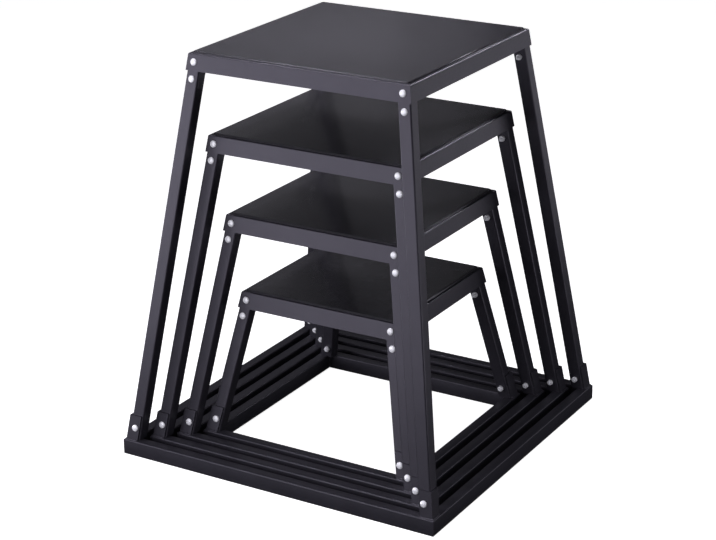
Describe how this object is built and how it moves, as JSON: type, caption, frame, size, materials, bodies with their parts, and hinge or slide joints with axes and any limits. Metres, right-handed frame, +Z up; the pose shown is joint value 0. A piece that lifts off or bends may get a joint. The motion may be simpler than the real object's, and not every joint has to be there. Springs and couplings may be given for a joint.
{
  "type": "plyo box",
  "caption": "Nesting set of open-frame steel jump boxes: splayed tube legs, square base frames and flat rubber-topped platforms that lift off one another.",
  "frame": {"origin": "centre of the footprint, on the floor", "axes": "+Z up; -Y is the front, one of the two sides with bolt heads; +X is to the right"},
  "size_m": [0.658, 0.658, 0.762],
  "materials": {
    "powder_coat": "satin black powder coat with a fine grain",
    "rubber_mat": "matte non-slip rubber with fine ribs",
    "zinc_hardware": "bright zinc plating"
  },
  "bodies": {
    "box12": {"box12_top_pan": "powder_coat", "box12_top_mat": "rubber_mat", "box12_top_inserts": "powder_coat", "box12_foot_stubs": "powder_coat", "box12_bolts": "zinc_hardware", "box12_nuts": "zinc_hardware", "box12_leg_front_left": "powder_coat", "box12_leg_front_right": "powder_coat", "box12_leg_rear_left": "powder_coat", "box12_leg_rear_right": "powder_coat", "box12_rail_front": "powder_coat", "box12_rail_right": "powder_coat", "box12_rail_rear": "powder_coat", "box12_rail_left": "powder_coat"},
    "box18": {"box18_top_pan": "powder_coat", "box18_top_mat": "rubber_mat", "box18_top_inserts": "powder_coat", "box18_foot_stubs": "powder_coat", "box18_bolts": "zinc_hardware", "box18_nuts": "zinc_hardware", "box18_leg_front_left": "powder_coat", "box18_leg_front_right": "powder_coat", "box18_leg_rear_left": "powder_coat", "box18_leg_rear_right": "powder_coat", "box18_rail_front": "powder_coat", "box18_rail_right": "powder_coat", "box18_rail_rear": "powder_coat", "box18_rail_left": "powder_coat"},
    "box24": {"box24_top_pan": "powder_coat", "box24_top_mat": "rubber_mat", "box24_top_inserts": "powder_coat", "box24_foot_stubs": "powder_coat", "box24_bolts": "zinc_hardware", "box24_nuts": "zinc_hardware", "box24_leg_front_left": "powder_coat", "box24_leg_front_right": "powder_coat", "box24_leg_rear_left": "powder_coat", "box24_leg_rear_right": "powder_coat", "box24_rail_front": "powder_coat", "box24_rail_right": "powder_coat", "box24_rail_rear": "powder_coat", "box24_rail_left": "powder_coat"},
    "box30": {"box30_top_pan": "powder_coat", "box30_top_mat": "rubber_mat", "box30_top_inserts": "powder_coat", "box30_foot_stubs": "powder_coat", "box30_bolts": "zinc_hardware", "box30_nuts": "zinc_hardware", "box30_leg_front_left": "powder_coat", "box30_leg_front_right": "powder_coat", "box30_leg_rear_left": "powder_coat", "box30_leg_rear_right": "powder_coat", "box30_rail_front": "powder_coat", "box30_rail_right": "powder_coat", "box30_rail_rear": "powder_coat", "box30_rail_left": "powder_coat"}
  },
  "joints": [
    {"name": "lift_18", "type": "slide", "parent": "box12", "child": "box18", "axis": [0, 0, 1], "range_m": [0, 0.32]},
    {"name": "lift_24", "type": "slide", "parent": "box18", "child": "box24", "axis": [0, 0, 1], "range_m": [0, 0.48]},
    {"name": "lift_30", "type": "slide", "parent": "box24", "child": "box30", "axis": [0, 0, 1], "range_m": [0, 0.63]}
  ]
}
